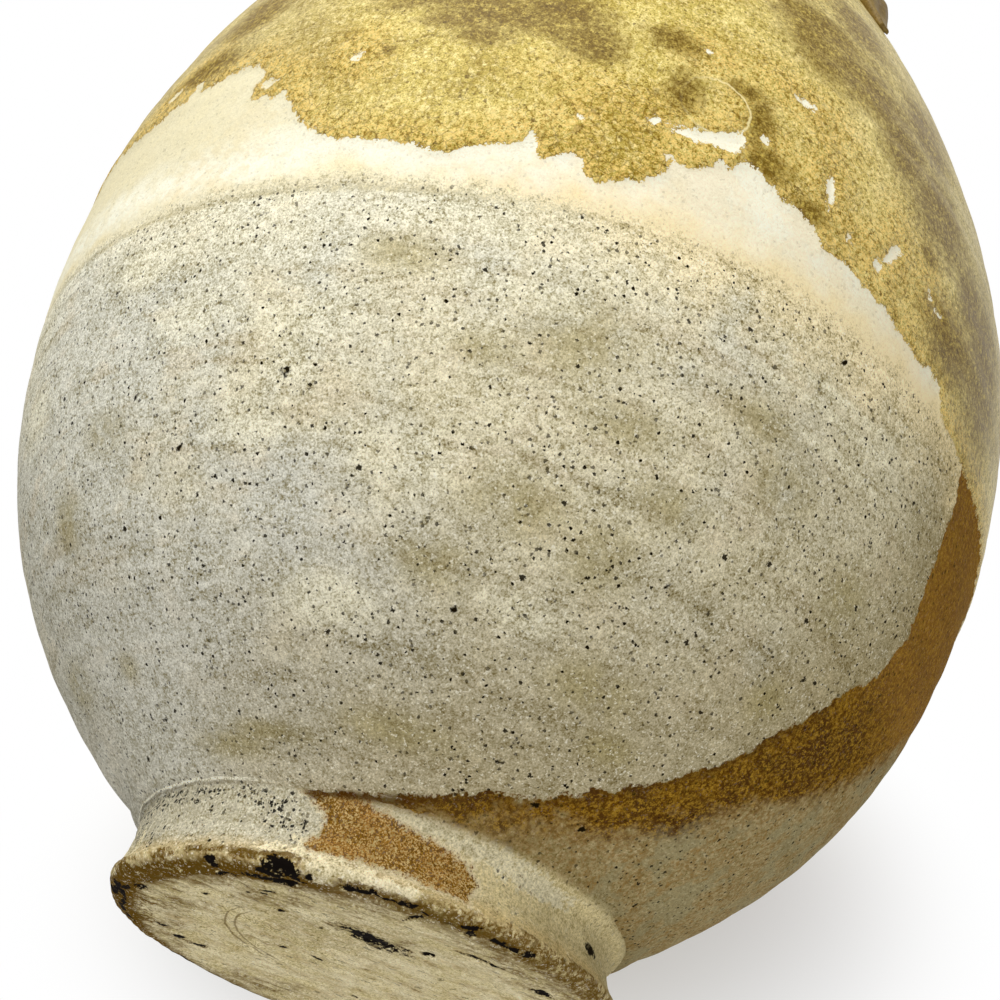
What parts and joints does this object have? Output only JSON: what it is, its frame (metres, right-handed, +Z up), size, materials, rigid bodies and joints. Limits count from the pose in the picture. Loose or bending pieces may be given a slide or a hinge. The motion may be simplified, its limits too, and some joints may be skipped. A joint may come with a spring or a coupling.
{
  "type": "lug jar",
  "caption": "Ovoid stoneware storage jar with a short collar, a rolled lip, strap lugs on the shoulder for a cord, and a solid foot.",
  "frame": {"origin": "centre of the foot's flat underside", "axes": "+Z up along the jar's turning axis, with the lugs on +X, +Y, -X and -Y"},
  "size_m": [0.2, 0.2, 0.268],
  "materials": {
    "bare_clay": "matte",
    "olive_glaze": "satin",
    "foot_clay": "matte"
  },
  "bodies": {
    "root": {"foot": "foot_clay", "lower_body": "bare_clay", "upper_body": "olive_glaze", "collar": "olive_glaze", "lug_1": "olive_glaze", "lug_2": "olive_glaze", "lug_3": "olive_glaze", "lug_4": "olive_glaze"}
  },
  "joints": []
}
